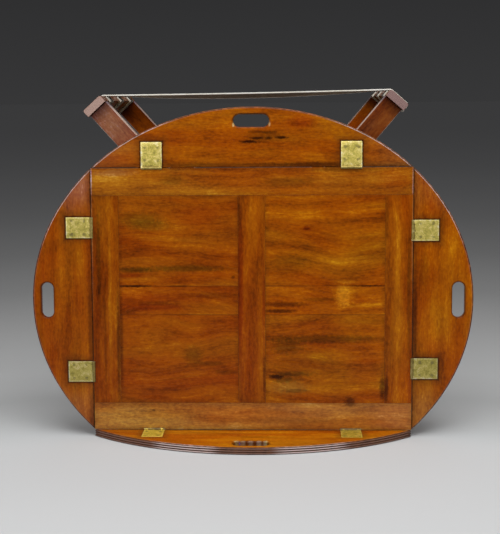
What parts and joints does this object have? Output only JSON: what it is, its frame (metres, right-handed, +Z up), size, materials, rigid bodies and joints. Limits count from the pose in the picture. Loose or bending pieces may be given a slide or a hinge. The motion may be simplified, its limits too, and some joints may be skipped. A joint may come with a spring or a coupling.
{
  "type": "butler tray on folding stand",
  "caption": "Wooden butler tray with hinged oval flaps, hand holes and brass hinges, leaning on its folding X stand with webbing straps.",
  "frame": {"origin": "middle of the footprint, on the floor that the front flap and the stand's feet rest on", "axes": "+X along the tray's length, to the right seen from the tray's face; +Y from the tray back to the stand; +Z up"},
  "size_m": [0.973, 0.6586, 0.7655],
  "materials": {
    "tray_wood": "waxed mahogany, orange-brown, worn",
    "stand_wood": "polished mahogany, dark red-brown",
    "brass": "aged brass, dull with patina",
    "steel": "dull steel",
    "webbing": "woven cream webbing"
  },
  "bodies": {
    "outer_frame": {"outer_front_leg": "stand_wood", "outer_rear_leg": "stand_wood", "outer_rail": "stand_wood", "outer_stretcher": "stand_wood", "front_pivot_bolt": "steel", "front_pivot_washer": "steel", "front_pivot_nut": "steel", "rear_pivot_bolt": "steel", "rear_pivot_washer": "steel", "rear_pivot_nut": "steel", "front_strap": "webbing", "middle_strap": "webbing", "rear_strap": "webbing"},
    "inner_frame": {"inner_front_leg": "stand_wood", "inner_rear_leg": "stand_wood", "inner_rail": "stand_wood", "inner_stretcher": "stand_wood"},
    "tray": {"back_rail": "tray_wood", "front_rail": "tray_wood", "left_stile": "tray_wood", "muntin": "tray_wood", "right_stile": "tray_wood", "left_panel": "tray_wood", "right_panel": "tray_wood", "back_tray_leaf_a": "brass", "back_tray_leaf_b": "brass", "front_tray_leaf_a": "brass", "front_tray_leaf_b": "brass", "left_tray_leaf_a": "brass", "left_tray_leaf_b": "brass", "right_tray_leaf_a": "brass", "right_tray_leaf_b": "brass", "back_hinge_pin_a": "brass", "back_hinge_pin_b": "brass", "front_hinge_pin_a": "brass", "front_hinge_pin_b": "brass", "left_hinge_pin_a": "brass", "left_hinge_pin_b": "brass", "right_hinge_pin_a": "brass", "right_hinge_pin_b": "brass"},
    "back_flap": {"back_flap_board": "tray_wood", "back_flap_leaf_a": "brass", "back_flap_leaf_b": "brass", "back_flap_spring_a": "steel", "back_flap_spring_b": "steel"},
    "front_flap": {"front_flap_board": "tray_wood", "front_flap_leaf_a": "brass", "front_flap_leaf_b": "brass", "front_flap_spring_a": "steel", "front_flap_spring_b": "steel"},
    "left_flap": {"left_flap_board": "tray_wood", "left_flap_leaf_a": "brass", "left_flap_leaf_b": "brass", "left_flap_spring_a": "steel", "left_flap_spring_b": "steel"},
    "right_flap": {"right_flap_board": "tray_wood", "right_flap_leaf_a": "brass", "right_flap_leaf_b": "brass", "right_flap_spring_a": "steel", "right_flap_spring_b": "steel"}
  },
  "joints": [
    {"name": "stand_fold", "type": "hinge", "parent": "outer_frame", "child": "inner_frame", "pos_m": [-0.0065, -0.14468, 0.3615], "axis": [0, -1, 0], "range_deg": [0, 75], "deforming": ["front_strap", "middle_strap", "rear_strap"]},
    {"name": "tray_lift_away", "type": "slide", "parent": "outer_frame", "child": "tray", "axis": [0, -1, 0], "range_m": [0, 0.6]},
    {"name": "back_flap_hinge", "type": "hinge", "parent": "tray", "child": "back_flap", "pos_m": [0, -0.16494, 0.59709], "axis": [1, 0, 0], "range_deg": [0, 90]},
    {"name": "front_flap_hinge", "type": "hinge", "parent": "tray", "child": "front_flap", "pos_m": [0, -0.19743, 0.016], "axis": [-1, 0, 0], "range_deg": [-86.8, 3.2]},
    {"name": "left_flap_hinge", "type": "hinge", "parent": "tray", "child": "left_flap", "pos_m": [-0.353, -0.18119, 0.30655], "axis": [0, 0.0558, 0.9984], "range_deg": [0, 90]},
    {"name": "right_flap_hinge", "type": "hinge", "parent": "tray", "child": "right_flap", "pos_m": [0.353, -0.18119, 0.30655], "axis": [0, -0.0558, -0.9984], "range_deg": [0, 90]}
  ]
}
